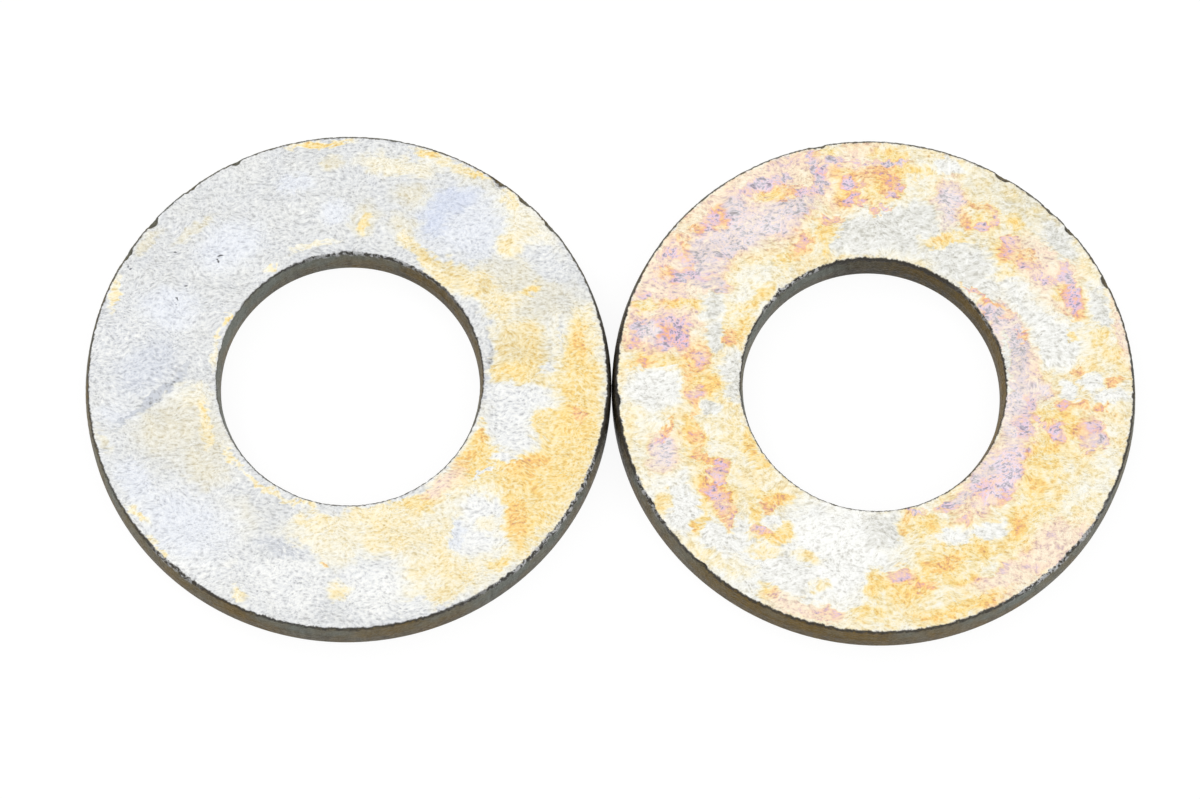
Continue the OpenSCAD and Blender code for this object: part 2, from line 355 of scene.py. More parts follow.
RIGHT_PATCHES = [
    # Wide washes, from the front right round to the back right
    ("cream", 12.5, -6.0, 3.6, 2.6, -30),
    ("pale gold", 11.0, -5.0, 2.4, 2.8, 0),
    ("pale gold", 9.8, -8.6, 1.9, 3.0, -38),
    ("pale gold", 5.0, -12.0, 4.6, 2.2, 20),
    ("peach", 11.2, -10.8, 2.8, 1.3, 45),
    ("peach", 7.4, -13.6, 2.4, 1.1, 28),
    ("pale gold", 3.0, -15.0, 4.0, 1.0, 8),
    ("cream", 1.6, -11.4, 1.8, 1.0, 0),
    ("bright", -3.0, -11.4, 3.4, 3.2, 0),
    ("white", -7.2, -12.4, 3.2, 2.0, -30),
    ("white", -9.6, -10.4, 1.6, 1.2, -30),
    ("white", -12.8, -7.8, 1.4, 2.2, 35),
    ("cream", -14.2, -4.6, 1.6, 2.4, 10),
    ("cream", -9.8, -4.4, 2.4, 1.8, 0),
    ("white", -14.2, -0.4, 1.7, 1.3, 0),
    ("silver", -9.1, 0.4, 0.6, 1.7, 0),
    ("pale gold", -9.4, -3.0, 0.9, 1.2, 0),
    ("peach", -13.0, 6.2, 3.4, 4.0, -30),
    ("lilac", -7.4, 10.6, 3.0, 1.8, 35),
    ("lilac", -10.4, 9.0, 2.0, 1.3, 35),
    ("cream", -7.4, 6.6, 1.8, 2.6, -35),
    ("peach", -7.6, 13.4, 4.6, 1.4, 28),
    ("peach", -0.8, 14.0, 2.8, 2.2, 0),
    ("cream", 3.4, 13.0, 1.8, 1.4, 0),
    ("lilac", 5.0, 12.2, 1.1, 1.6, 0),
    ("dim cream", 9.8, 11.6, 3.6, 1.8, -45),
    ("silver", 2.2, 10.4, 3.2, 1.5, 0),
    ("silver", -1.2, 9.8, 1.4, 1.1, 0),
    ("silver", 6.0, 8.0, 2.3, 1.4, -35),
    ("white", 9.4, 5.8, 2.4, 1.5, -45),
    ("pale gold", 4.2, 9.8, 1.4, 0.5, 10),
    ("white", 11.6, 2.8, 1.4, 1.6, 0),
    ("peach", 11.6, 7.4, 2.6, 1.8, -60),
    ("cream", 14.6, 4.6, 1.0, 2.8, 15),
    ("lilac", 8.7, 1.6, 1.0, 3.8, 5),
    ("lilac", 9.0, -2.0, 1.2, 2.4, 0),
    ("peach", 10.0, 1.4, 0.6, 1.2, 0),
    # Back right
    ("gold", 1.2, 15.6, 1.1, 0.4, -3),
    ("gold", 2.8, 14.6, 1.5, 0.35, 8),
    ("orange", 0.5, 14.5, 1.2, 0.4, 0),
    ("gold", 0.6, 13.2, 1.1, 1.0, 0),
    ("orange", 1.3, 13.6, 0.7, 0.8, 0),
    ("violet", 1.3, 13.0, 0.35, 0.3, 0),
    ("magenta", 1.9, 13.6, 0.3, 0.3, 0),
    ("slate", 1.5, 15.1, 1.0, 0.18, 4),
    ("violet", 0.0, 15.2, 0.9, 0.12, 0),
    ("magenta", 0.3, 11.6, 0.35, 0.4, 0),
    ("violet", 1.0, 11.9, 0.3, 0.2, 0),
    ("white", 5.0, 14.7, 0.9, 0.5, -15),
    ("silver", 3.0, 11.2, 1.3, 0.8, 0),
    ("lilac", 5.2, 11.4, 0.8, 0.9, 0),
    ("pale gold", 7.2, 11.4, 1.4, 1.2, 0),
    ("orange", 6.2, 11.0, 0.35, 0.7, 10),
    ("orange", 7.3, 12.0, 0.9, 0.3, -15),
    ("gold", 7.1, 11.3, 0.5, 0.5, 0),
    ("violet", 7.2, 10.7, 0.45, 0.25, 0),
    ("pink", 7.9, 11.3, 0.2, 0.6, 0),
    ("gold", 9.2, 11.0, 0.7, 0.5, -30),
    ("gold", 4.5, 9.5, 0.8, 0.3, 10),
    ("gold", 5.6, 9.9, 0.7, 0.3, -10),
    ("silver", 12.2, 9.6, 1.4, 0.7, -50),
    ("gold", 8.8, 9.0, 0.9, 1.0, 0),
    ("orange", 8.6, 9.0, 0.4, 0.7, 0),
    ("magenta", 9.0, 9.3, 0.6, 0.6, 0),
    ("violet", 8.8, 9.7, 0.5, 0.35, 0),
    ("peach", 10.5, 8.9, 1.2, 0.9, -30),
    ("orange", 9.9, 8.7, 0.7, 0.4, -30),
    ("pink", 10.2, 8.2, 0.8, 0.3, -20),
    ("pale gold", 8.6, 7.4, 0.9, 0.4, 0),
    ("violet", 12.4, 7.7, 0.4, 0.5, 0),
    ("slate", 12.6, 6.9, 0.3, 0.5, 0),
    ("violet", 11.2, 7.1, 0.7, 0.2, 0),
    ("gold", 12.2, 6.2, 0.5, 0.5, 0),
    ("magenta", 12.9, 5.8, 0.6, 1.0, 0),
    ("orange", 13.1, 4.6, 0.5, 0.35, 0),
    ("violet", 13.1, 6.4, 0.2, 0.5, 0),
    ("silver", 14.6, 5.2, 0.5, 1.2, 15),
    ("gold", 14.5, 3.2, 0.6, 0.7, 0),
    ("pale gold", 14.8, 1.2, 1.4, 1.2, 0),
    ("gold", 12.8, 3.2, 0.4, 0.3, 0),
    ("orange", 13.1, 0.8, 0.5, 0.5, 0),
    ("orange", 15.4, 0.2, 0.7, 0.25, 0),
    ("peach", 15.9, 3.6, 0.4, 2.2, 12),
    ("white", 13.8, 0.1, 0.6, 0.6, 0),
    ("mauve", 8.1, 4.8, 0.8, 0.6, -30),
    ("orange", 7.3, 5.7, 1.9, 0.16, -30),
    ("slate", 7.3, 5.1, 0.7, 0.25, -35),
    ("pink", 8.7, 4.5, 0.35, 0.3, 0),
    ("pink", 6.2, 6.3, 0.6, 0.18, -38),
    ("violet", 9.2, 2.1, 0.3, 0.3, 0),
    ("mauve", 9.1, 1.5, 0.7, 1.6, 0),
    ("orange", 9.4, 3.2, 0.2, 0.4, 0),
    ("silver", 8.4, 1.2, 0.25, 1.8, 0),
    # Front right
    ("lilac", 10.3, -0.5, 0.9, 0.6, 0),
    ("gold", 11.2, -2.3, 1.1, 0.7, 0),
    ("gold", 12.6, -3.0, 1.2, 0.8, 0),
    ("orange", 12.9, -1.5, 0.8, 0.4, -15),
    ("gold", 10.6, -4.2, 0.8, 0.8, 0),
    ("magenta", 11.9, -1.4, 0.3, 0.35, 0),
    ("violet", 10.6, -2.6, 0.6, 0.16, -45),
    ("violet", 11.4, -3.3, 0.4, 0.6, 0),
    ("pink", 11.9, -3.6, 0.3, 0.5, 0),
    ("orange", 14.5, -1.5, 0.5, 0.25, 15),
    ("white", 15.2, -0.8, 0.9, 0.4, 0),
    ("white", 12.3, -0.5, 0.5, 0.5, 0),
    ("pink", 13.9, -3.3, 0.9, 1.1, 0),
    ("magenta", 14.0, -3.2, 0.7, 0.8, 0),
    ("violet", 14.0, -2.8, 0.6, 0.35, 0),
    ("slate", 14.0, -3.9, 0.7, 0.4, 0),
    ("violet", 9.4, -2.8, 0.5, 0.8, 0),
    ("violet", 9.8, -1.2, 0.4, 0.5, 0),
    ("lilac", 7.2, -6.4, 2.4, 1.3, 50),
    ("orchid", 7.6, -6.6, 2.0, 1.1, 50),
    ("magenta", 8.0, -7.7, 0.3, 0.7, -15),
    ("mauve", 7.0, -6.1, 0.9, 0.4, 25),
    ("pink", 6.3, -7.3, 1.2, 0.5, 30),
    ("mauve", 5.3, -7.7, 0.8, 0.25, 32),
    ("violet", 4.4, -8.3, 0.5, 0.22, 15),
    ("slate", 2.6, -8.6, 0.6, 0.2, -15),
    ("silver", 0.4, -9.8, 1.2, 1.0, 0),
    ("orange", 1.7, -9.5, 0.4, 0.7, -20),
    ("gold", 3.0, -9.6, 1.4, 0.7, 0),
    ("pink", 5.4, -9.2, 0.5, 0.35, 0),
    ("white", 7.0, -9.7, 1.0, 0.4, 15),
    ("white", 4.9, -10.4, 0.9, 0.45, 0),
    ("gold", 10.5, -5.6, 1.2, 1.0, 0),
    ("gold", 9.3, -8.8, 0.9, 2.1, -22),
    ("deep gold", 9.2, -9.0, 0.5, 1.0, -20),
    ("cream", 12.6, -8.0, 0.8, 1.0, 0),
    ("orchid", 8.6, -5.4, 1.1, 0.7, 50),
    ("gold", 4.2, -11.9, 1.5, 1.1, 20),
    ("gold", 6.2, -11.3, 1.5, 0.8, 15),
    ("deep gold", 4.2, -12.2, 1.3, 0.5, 15),
    ("gold", 5.2, -12.9, 1.2, 0.5, 15),
    ("cream", 7.4, -12.4, 0.7, 0.5, 20),
    ("gold", 1.4, -13.6, 1.6, 0.9, 10),
    ("pink", 1.2, -12.9, 0.8, 0.5, 0),
    ("orange", 3.0, -13.5, 0.7, 0.25, 5),
    ("peach", 8.2, -12.5, 1.0, 0.4, 45),
    ("gold", 5.4, -14.8, 2.6, 0.4, 20),
    # Front left
    ("gold", -0.3, -13.4, 0.6, 1.1, 0),
    ("gold", -0.6, -15.3, 1.4, 0.5, 0),
    ("pale gold", -4.6, -11.7, 1.0, 0.5, -20),
    ("cream", -9.0, -12.4, 1.4, 0.8, -20),
    ("pale gold", -10.7, -11.6, 1.2, 0.5, -40),
    ("pale gold", -7.4, -11.2, 1.0, 0.4, 0),
    ("gold", -7.2, -14.0, 0.6, 0.5, -25),
    ("peach", -4.6, -15.0, 2.6, 0.6, -15),
    ("pink", -3.2, -15.3, 0.8, 0.4, -10),
    ("pale gold", -3.7, -13.6, 0.8, 0.4, 0),
    ("lilac", -13.6, -4.8, 1.0, 1.2, 0),
    ("magenta", -13.7, -3.8, 0.25, 0.5, -30),
    ("orange", -13.3, -3.2, 0.2, 0.6, -20),
    ("gold", -11.6, -3.8, 0.7, 1.4, 10),
    ("orange", -11.6, -3.6, 0.4, 0.5, 0),
    ("orange", -11.3, -4.9, 0.3, 0.5, 20),
    ("orange", -10.6, -5.4, 0.7, 0.2, -20),
    ("gold", -8.4, -4.0, 0.5, 1.1, 30),
    ("gold", -7.4, -5.4, 0.7, 0.35, -45),
    ("gold", -10.4, -7.4, 1.2, 1.6, 0),
    ("magenta", -9.9, -6.0, 0.8, 0.45, 40),
    ("violet", -10.2, -6.4, 0.4, 0.25, 40),
    ("orange", -10.5, -7.4, 0.8, 0.6, -30),
    ("pink", -10.3, -7.7, 0.7, 0.4, -40),
    ("magenta", -10.8, -7.3, 0.4, 0.3, 0),
    ("pink", -9.7, -8.4, 0.6, 0.4, -20),
    ("orange", -9.5, -9.2, 0.4, 0.8, 0),
    ("magenta", -9.4, -9.3, 0.2, 0.5, 0),
    ("gold", -11.2, -9.0, 0.4, 1.2, -5),
    ("pale gold", -13.5, -8.2, 0.7, 0.8, 0),
    ("white", -12.2, -8.8, 0.7, 0.9, 0),
    ("gold", -7.0, -7.6, 1.3, 0.4, 0),
    ("deep gold", -6.3, -7.8, 0.8, 0.3, 0),
    ("gold", -7.9, -8.8, 0.3, 1.1, 10),
    ("orange", -7.0, -8.4, 0.4, 0.3, 0),
    ("gold", -7.0, -10.3, 1.4, 0.35, -5),
    ("pink", -7.6, -10.0, 0.6, 0.25, 0),
    ("gold", -5.9, -9.7, 0.5, 0.5, 0),
    ("white", -6.8, -9.2, 0.5, 0.4, 0),
    # Back left
    ("orange", -11.9, -0.5, 0.6, 0.9, 0),
    ("gold", -10.7, -0.2, 1.1, 1.0, 0),
    ("pink", -11.6, -0.9, 0.5, 0.5, 0),
    ("orange", -11.5, -2.0, 0.2, 0.7, 0),
    ("silver", -10.6, -1.6, 0.5, 0.35, 0),
    ("orange", -11.3, 1.6, 0.8, 1.0, 0),
    ("pink", -11.2, 1.4, 0.5, 0.6, 0),
    ("gold", -14.0, 1.3, 1.9, 0.4, 0),
    ("orange", -14.9, 1.2, 0.7, 0.2, 0),
    ("pink", -14.0, 3.1, 1.9, 1.1, 0),
    ("slate", -15.2, 3.6, 0.5, 0.3, 0),
    ("magenta", -15.4, 2.6, 0.5, 0.4, 0),
    ("lilac", -14.4, 3.4, 0.6, 0.6, 0),
    ("orange", -13.2, 3.2, 0.5, 0.5, 0),
    ("violet", -13.4, 2.4, 0.4, 0.3, 0),
    ("violet", -12.7, 3.9, 0.7, 0.3, 0),
    ("magenta", -12.4, 3.0, 0.45, 0.8, 0),
    ("silver", -10.2, 3.0, 0.5, 0.9, 0),
    ("gold", -8.7, 3.9, 0.9, 1.2, -15),
    ("orange", -9.1, 3.0, 0.5, 0.4, 0),
    ("orange", -10.3, 4.4, 0.5, 0.25, 0),
    ("silver", -10.5, 5.0, 0.8, 0.8, 0),
    ("gold", -7.2, 6.0, 0.5, 0.9, -40),
    ("violet", -14.5, 5.7, 0.5, 0.25, -15),
    ("gold", -14.6, 5.1, 0.9, 0.3, 0),
    ("gold", -12.2, 5.2, 1.1, 0.4, 0),
    ("violet", -12.9, 8.5, 0.7, 0.4, 0),
    ("orange", -12.1, 9.0, 0.25, 0.8, 10),
    ("orange", -13.0, 7.3, 0.8, 0.3, -10),
    ("magenta", -12.3, 7.3, 0.8, 0.4, 30),
    ("slate", -12.3, 7.2, 0.5, 0.3, 30),
    ("orange", -11.5, 8.2, 0.25, 0.5, 0),
    ("mauve", -10.5, 6.7, 1.1, 0.5, -25),
    ("violet", -11.1, 7.2, 0.7, 0.25, 0),
    ("mauve", -10.2, 9.0, 1.6, 0.9, 20),
    ("slate", -9.6, 8.4, 0.5, 0.2, 0),
    ("gold", -5.6, 8.4, 0.7, 0.5, 40),
    ("orange", -4.5, 9.5, 0.6, 0.9, -10),
    ("magenta", -4.5, 9.5, 0.4, 0.45, 0),
    ("gold", -2.9, 10.6, 0.6, 0.7, 0),
    ("magenta", -2.6, 11.2, 0.8, 0.25, 0),
    ("gold", -2.9, 9.4, 0.25, 0.9, -8),
    ("mauve", -4.6, 12.2, 1.1, 0.7, 0),
    ("orange", -9.8, 11.3, 0.6, 0.7, 0),
    ("violet", -10.6, 11.0, 0.6, 0.4, 20),
    ("orange", -11.4, 10.5, 0.6, 0.2, 15),
    ("mauve", -8.8, 11.9, 0.7, 0.8, -20),
    ("slate", -7.3, 13.5, 0.8, 0.3, 15),
    ("violet", -7.8, 13.0, 0.5, 0.4, 0),
    ("slate", -5.9, 13.9, 0.6, 0.25, 10),
    ("violet", -6.2, 13.4, 0.5, 0.3, 0),
    ("gold", -6.2, 12.7, 1.0, 0.35, 10),
    ("orange", -5.1, 13.0, 0.7, 0.3, 10),
    ("violet", -4.2, 13.1, 0.7, 0.3, 0),
    ("slate", -3.3, 13.7, 0.35, 0.7, 0),
    ("magenta", -3.2, 14.4, 0.4, 0.3, 0),
    ("slate", -3.7, 14.9, 0.3, 0.6, 10),
    ("violet", -3.7, 15.6, 0.3, 0.4, 0),
    ("slate", -2.3, 15.1, 0.5, 0.3, 20),
    ("violet", -1.2, 15.2, 0.9, 0.14, 0),
    ("gold", -2.8, 15.8, 0.7, 0.3, 8),
    ("gold", -1.5, 13.4, 1.0, 1.2, 0),
    ("orange", -0.5, 13.9, 0.6, 0.5, 0),
    ("violet", -1.7, 13.7, 0.5, 0.4, 0),
    ("magenta", -0.7, 13.5, 0.3, 0.3, 0),
    ("magenta", -1.3, 12.7, 0.4, 0.35, 0),
    ("magenta", -0.5, 12.2, 0.3, 0.3, 0),
]

# Where a patch's edge starts and ends, as shares of its half length and half width
PATCH_INSIDE = 0.2
PATCH_OUTSIDE = 1.55
# How strongly coarse and fine noise push the patches' edges about, and how far that carries a patch
WANDER_PUSH = 1.1
WANDER_REACH = 0.8

# Colours as they look in even light, written as red, green and blue from 0 to 255
BRIGHT_ZINC = (254, 254, 251)
COOL_ZINC = (216, 219, 225)
WARM_ZINC = (222, 221, 213)
FILM_COLOURS = [
    (0.0, (220, 227, 244)),
    (0.12, (230, 234, 240)),
    (0.26, (248, 246, 232)),
    (0.38, (253, 244, 212)),
    (0.5, (254, 234, 172)),
    (0.6, (254, 222, 142)),
    (0.68, (253, 206, 134)),
    (0.76, (248, 194, 150)),
    (0.82, (248, 196, 188)),
    (0.87, (245, 205, 220)),
    (0.92, (240, 212, 236)),
    (0.96, (222, 206, 228)),
    (1.0, (196, 188, 206)),
]
SHADED_FILM = (60, 54, 40)
SCUFFED_METAL = (104, 104, 106)
# The speck and pit colours darken the grain's hollows: partly real tone, partly painted shade of the relief
SPECK = (158, 150, 140)
STAINED_AND_SHADED_PIT = (160, 112, 118)
GREY_WALL = (119, 123, 115)
BROWN_WALL = (120, 98, 50)
DARK_WALL = (60, 54, 42)
TORN_METAL = (62, 59, 56)
CHIPPED_METAL = (190, 191, 192)

# Noise patterns as (scale, detail, roughness). A scale is about how many waves lie in a millimetre.
NOISES = {
    "grain drift": (0.35, 2, 0.5),
    "grain": (5.2, 1, 0.5),
    "fine grain": (10.5, 1, 0.5),
    "coarse wander": (0.6, 1, 0.5),
    "fine wander": (3.2, 1, 0.5),
    "mottle": (0.9, 3, 0.55),
    "rubbing": (1.6, 4, 0.7),
    "clouds": (0.5, 3, 0.5),
    "brown stains": (0.4, 3, 0.6),
    "streaks": (2.6, 4, 0.7),
    "dark spots": (1.8, 4, 0.7),
    "crumbs": (2.6, 5, 0.75),
    "chips": (3.1, 4, 0.7),
}

# The grain lies in short strokes that run mostly left to right
GRAIN_DRIFT = 1.6
GRAIN_STRETCH = (0.62, 1, 1)
FINE_GRAIN_SHARE = 0.6
MEAN_RELIEF = 0.8
RELIEF_HEIGHT = 0.12
# Streaks on the walls run up and down
STREAK_STRETCH = (1, 1, 0.16)

# How strongly each pattern acts on what it changes
FILM_GRAIN = 0.7
COVER_GRAIN = 0.8
RUBBING_SWING = 1.4
CLOUD_SWING = 0.6
LEAST_UNEVENNESS = 0.6
SHADED_SHARE = 0.2
COVERED_SPECKS = 0.6
STAIN_SWING = 2.2
LOW_BROWN = 0.4
STREAK_SWING = 1.3
SPOT_SWING = 0.9
LOW_SHADE = 0.42
TORN_CRUMBS = 0.9
TORN_SHARE = 0.9
LIP_CRUMBS = 0.45

# Shader settings of the plated faces and the punched walls
PLATED_FINISH = {"Metallic": 0.5, "Specular IOR Level": 0.1, "Roughness": 0.5}
PUNCHED_FINISH = {"Metallic": 0.4, "Specular IOR Level": 0.2, "Roughness": 0.35}
GRAIN_ROUGHNESS = 0.3


def linear(colour):
    """The colour as light, with an alpha of one."""
    shares = [value / 255 for value in colour]
    return [s / 12.92 if s <= 0.04045 else ((s + 0.055) / 1.055) ** 2.4 for s in shares] + [1]


class Graph:
    """Adds nodes to one tree. An input may be a number, a list or another node's output."""

    def __init__(self, tree):
        self.tree = tree

    def node(self, kind, inputs=(), **settings):
        made = self.tree.nodes.new(kind)
        for name, value in settings.items():
            setattr(made, name, value)
        for place, value in dict(inputs).items():
            if isinstance(value, bpy.types.NodeSocket):
                self.tree.links.new(value, made.inputs[place])
            else:
                made.inputs[place].default_value = value
        return made

    def math(self, operation, first, second=0.0, third=0.0):
        inputs = {0: first, 1: second, 2: third}
        return self.node("ShaderNodeMath", inputs, operation=operation).outputs[0]

    def plus(self, base, extra, share):
        """The base plus a share of something more."""
        return self.math("MULTIPLY_ADD", extra, share, base)

    def product(self, first, *others):
        for other in others:
            first = self.math("MULTIPLY", first, other)
        return first

    def clamped(self, value):
        """The value, held between 0 and 1."""
        return self.math("MAXIMUM", self.math("MINIMUM", value, 1.0), 0.0)

    def vector(self, operation, first, second):
        made = self.node("ShaderNodeVectorMath", {0: first, 1: second}, operation=operation)
        return made.outputs["Value" if operation == "DOT_PRODUCT" else "Vector"]

    def noise(self, point, name):
        """A named noise pattern's node."""
        scale, detail, roughness = NOISES[name]
        inputs = {"Vector": point, "Scale": scale, "Detail": detail, "Roughness": roughness}
        return self.node("ShaderNodeTexNoise", inputs)

    def wave(self, point, name):
        """A named noise pattern that swings about zero."""
        return self.math("SUBTRACT", self.noise(point, name).outputs[0], 0.5)

    def push(self, point, name, strength):
        """A named noise pattern as a level push that may go any way."""
        swing = self.vector("SUBTRACT", self.noise(point, name).outputs["Color"], (0.5, 0.5, 0.5))
        return self.vector("MULTIPLY", swing, (strength, strength, 0))

    def attribute(self, name):
        return self.node("ShaderNodeAttribute", attribute_name=name).outputs["Fac"]

    def remap(self, value, low, high, new_low=0.0, new_high=1.0):
        """A smooth step from one range of values to another."""
        inputs = {"Value": value, 1: low, 2: high, 3: new_low, 4: new_high}
        made = self.node("ShaderNodeMapRange", inputs, interpolation_type="SMOOTHSTEP")
        return made.outputs[0]

    def mix(self, share, first, second, blend="MIX"):
        """Mixes two colours."""
        inputs = {0: share, 6: first, 7: second}
        made = self.node("ShaderNodeMix", inputs, data_type="RGBA", blend_type=blend)
        return made.outputs[2]

    def mix_vector(self, share, first, second):
        inputs = {0: share, 4: first, 5: second}
        return self.node("ShaderNodeMix", inputs, data_type="VECTOR").outputs[1]

    def mix_number(self, share, first, second):
        return self.node("ShaderNodeMix", {0: share, 2: first, 3: second}).outputs[0]

    def ramp(self, value, stops):
        made = self.node("ShaderNodeValToRGB", {0: value})
        elements = made.color_ramp.elements
        elements[0].position, elements[0].color = stops[0][0], linear(stops[0][1])
        elements[1].position, elements[1].color = stops[-1][0], linear(stops[-1][1])
        for position, colour in stops[1:-1]:
            elements.new(position).color = linear(colour)
        return made.outputs[0]


class Surface(Graph):
    """The nodes of one washer's material, with what its plating and its punched walls both read."""

    def __init__(self, tree, centre, style):
        super().__init__(tree)
        self.style = style
        scale = 1 / MM
        self.point = self.node("ShaderNodeMapping", {
            "Vector": self.node("ShaderNodeTexCoord").outputs["Object"],
            "Location": (-centre.x * scale, -centre.y * scale, 0),
            "Scale": (scale, scale, scale),
        }).outputs[0]
        self.height = self.node("ShaderNodeSeparateXYZ", {0: self.point}).outputs[2]
        self.seeded = self.vector("ADD", self.point, style["seed"])
        self.depth = self.attribute("depth")
        self.tear = self.attribute("tear")
        drifting = self.vector("ADD", self.seeded, self.push(self.seeded, "grain drift", GRAIN_DRIFT))
        self.grain_point = self.vector("MULTIPLY", drifting, GRAIN_STRETCH)
        self.grain = self.noise(self.grain_point, "grain").outputs[0]
        fine_grain = self.noise(self.grain_point, "fine grain").outputs[0]
        self.relief = self.plus(self.grain, fine_grain, FINE_GRAIN_SHARE)
        self.grain_shift = self.math("SUBTRACT", self.relief, MEAN_RELIEF)


def soft_patch_group():
    """A node group that moves the tint towards another inside one soft-edged ellipse."""
    tree = bpy.data.node_groups.new("soft_patch", "ShaderNodeTree")
    for name in ("Tint", "Point", "Centre", "Length ruler", "Width ruler", "New tint"):
        tree.interface.new_socket(name, in_out="INPUT", socket_type="NodeSocketVector")
    tree.interface.new_socket("Tint", in_out="OUTPUT", socket_type="NodeSocketVector")
    graph = Graph(tree)
    given = graph.node("NodeGroupInput").outputs
    from_centre = graph.vector("SUBTRACT", given["Point"], given["Centre"])
    along = graph.vector("DOT_PRODUCT", from_centre, given["Length ruler"])
    across = graph.vector("DOT_PRODUCT", from_centre, given["Width ruler"])
    reach = graph.math("MULTIPLY_ADD", along, along, graph.product(across, across))
    inside = graph.remap(reach, PATCH_OUTSIDE ** 2, PATCH_INSIDE ** 2)
    graph.node("NodeGroupOutput", {"Tint": graph.mix_vector(inside, given["Tint"], given["New tint"])})
    return tree


SOFT_PATCH = soft_patch_group()


def direction(angle):
    """A level unit vector at an angle in degrees from +X."""
    return Vector((math.cos(math.radians(angle)), math.sin(math.radians(angle)), 0))


def paint_patches(graph, point, tint, patches):
    """The tint at a point after every patch has been laid over it."""
    for name, x, y, half_length, half_width, turn in patches:
        tint = graph.node("ShaderNodeGroup", {
            "Tint": tint,
            "Point": point,
            "Centre": (x, y, 0),
            "Length ruler": direction(turn) / half_length,
            "Width ruler": direction(turn + 90) / half_width,
            "New tint": TINTS[name],
        }, node_tree=SOFT_PATCH).outputs[0]
    return tint


def patched_tint(graph, patches):
    """The base tint, with the patches over it on the top face."""
    level_point = graph.vector("MULTIPLY", graph.point, (1, 1, 0))
    coarse_push = graph.push(graph.seeded, "coarse wander", WANDER_PUSH)
    fine_push = graph.push(graph.grain_point, "fine wander", WANDER_PUSH)
    wandering = graph.vector("ADD", level_point, graph.vector("ADD", coarse_push, fine_push))
    base = graph.style["base"]
    top = graph.remap(graph.height, 1.0, 2.0)
    return graph.mix_vector(top, base, paint_patches(graph, wandering, base, patches))


def uneven_film(graph, film, mottle):
    """The film's thickness, thinner on the grain's high spots."""
    film = graph.plus(film, mottle, graph.style["film mottle"])
    return graph.plus(film, graph.product(graph.grain_shift, film), -FILM_GRAIN)


def uneven_cover(graph, cover, mottle):
    """How fully the film covers, thinned by mottle and grain, and rubbed off the walls below the rims."""
    thinning = graph.plus(1.0, mottle, graph.style["cover mottle"])
    thinning = graph.plus(thinning, graph.grain_shift, -COVER_GRAIN)
    rubbing = graph.noise(graph.seeded, "rubbing").outputs[0]
    rubbed = graph.remap(graph.plus(graph.depth, rubbing, RUBBING_SWING), 0.65, 1.1)
    rubbed = graph.product(rubbed, graph.remap(graph.height, 0.5, 1.0))
    return graph.clamped(graph.product(cover, thinning, graph.math("SUBTRACT", 1.0, rubbed)))


def dullness_with_relief_shade(graph, dull):
    """How dull the zinc is, clouded and grained. The grain is partly painted shade of the relief, darker in
    its hollows and lighter on its tops. The duller it is, the stronger its grain.
    """
    dull = graph.plus(dull, graph.wave(graph.seeded, "clouds"), CLOUD_SWING)
    unevenness = graph.math("ADD", dull, LEAST_UNEVENNESS)
    grain = graph.product(graph.grain_shift, unevenness)
    return graph.plus(dull, grain, -graph.style["grain contrast"])


def shade_and_stain_pits(graph, face, film, cover):
    """The face with its grain's pits dark: as specks where bare, and stained where the film is thick. Both
    darken the hollows of the bump's relief, partly as painted shade.
    """
    pits = graph.remap(graph.grain_shift, 0.0, -0.35)
    bare = graph.plus(1.0, cover, -COVERED_SPECKS)
    specks = graph.product(pits, bare, graph.style["specks"])
    face = graph.mix(specks, face, linear(SPECK), "MULTIPLY")
    thick = graph.product(graph.remap(film, 0.64, 0.86), cover)
    stains = graph.product(pits, thick, graph.style["stains"])
    return graph.mix(stains, face, linear(STAINED_AND_SHADED_PIT), "MULTIPLY")


def plated_face(graph, patches):
    """The colour of the plating: bright or dull zinc under its film, scuffed bare in a few spots."""
    tint = patched_tint(graph, patches)
    film, cover, dull = graph.node("ShaderNodeSeparateXYZ", {0: tint}).outputs
    mottle = graph.wave(graph.seeded, "mottle")
    film = uneven_film(graph, film, mottle)
    cover = uneven_cover(graph, cover, mottle)
    dull = dullness_with_relief_shade(graph, dull)
    scuffed = graph.remap(dull, 1.4, 4.5)
    dull = graph.clamped(dull)
    zinc = graph.mix(dull, linear(BRIGHT_ZINC), linear(graph.style["dull zinc"]))
    shaded = graph.product(dull, SHADED_SHARE)
    filmed = graph.mix(shaded, graph.ramp(film, FILM_COLOURS), linear(SHADED_FILM))
    face = graph.mix(scuffed, graph.mix(cover, zinc, filmed), linear(SCUFFED_METAL))
    return shade_and_stain_pits(graph, face, film, cover)


def burnished_wall(graph):
    """The colour of the sheared wall: grey or brown, streaked, darker lower down, and with painted shade
    where the two washers meet.
    """
    brown = graph.plus(graph.attribute("brown"), graph.wave(graph.seeded, "brown stains"), STAIN_SWING)
    brown = graph.plus(brown, graph.remap(graph.depth, 0.7, 1.8), LOW_BROWN)
    wall = graph.mix(graph.clamped(brown), linear(GREY_WALL), linear(BROWN_WALL))
    streak_point = graph.vector("MULTIPLY", graph.seeded, STREAK_STRETCH)
    shade = graph.plus(graph.attribute("shade"), graph.wave(streak_point, "streaks"), STREAK_SWING)
    shade = graph.plus(shade, graph.wave(graph.seeded, "dark spots"), SPOT_SWING)
    shade = graph.plus(shade, graph.remap(graph.depth, 0.8, 1.8), LOW_SHADE)
    return graph.mix(graph.clamped(shade), wall, linear(DARK_WALL))


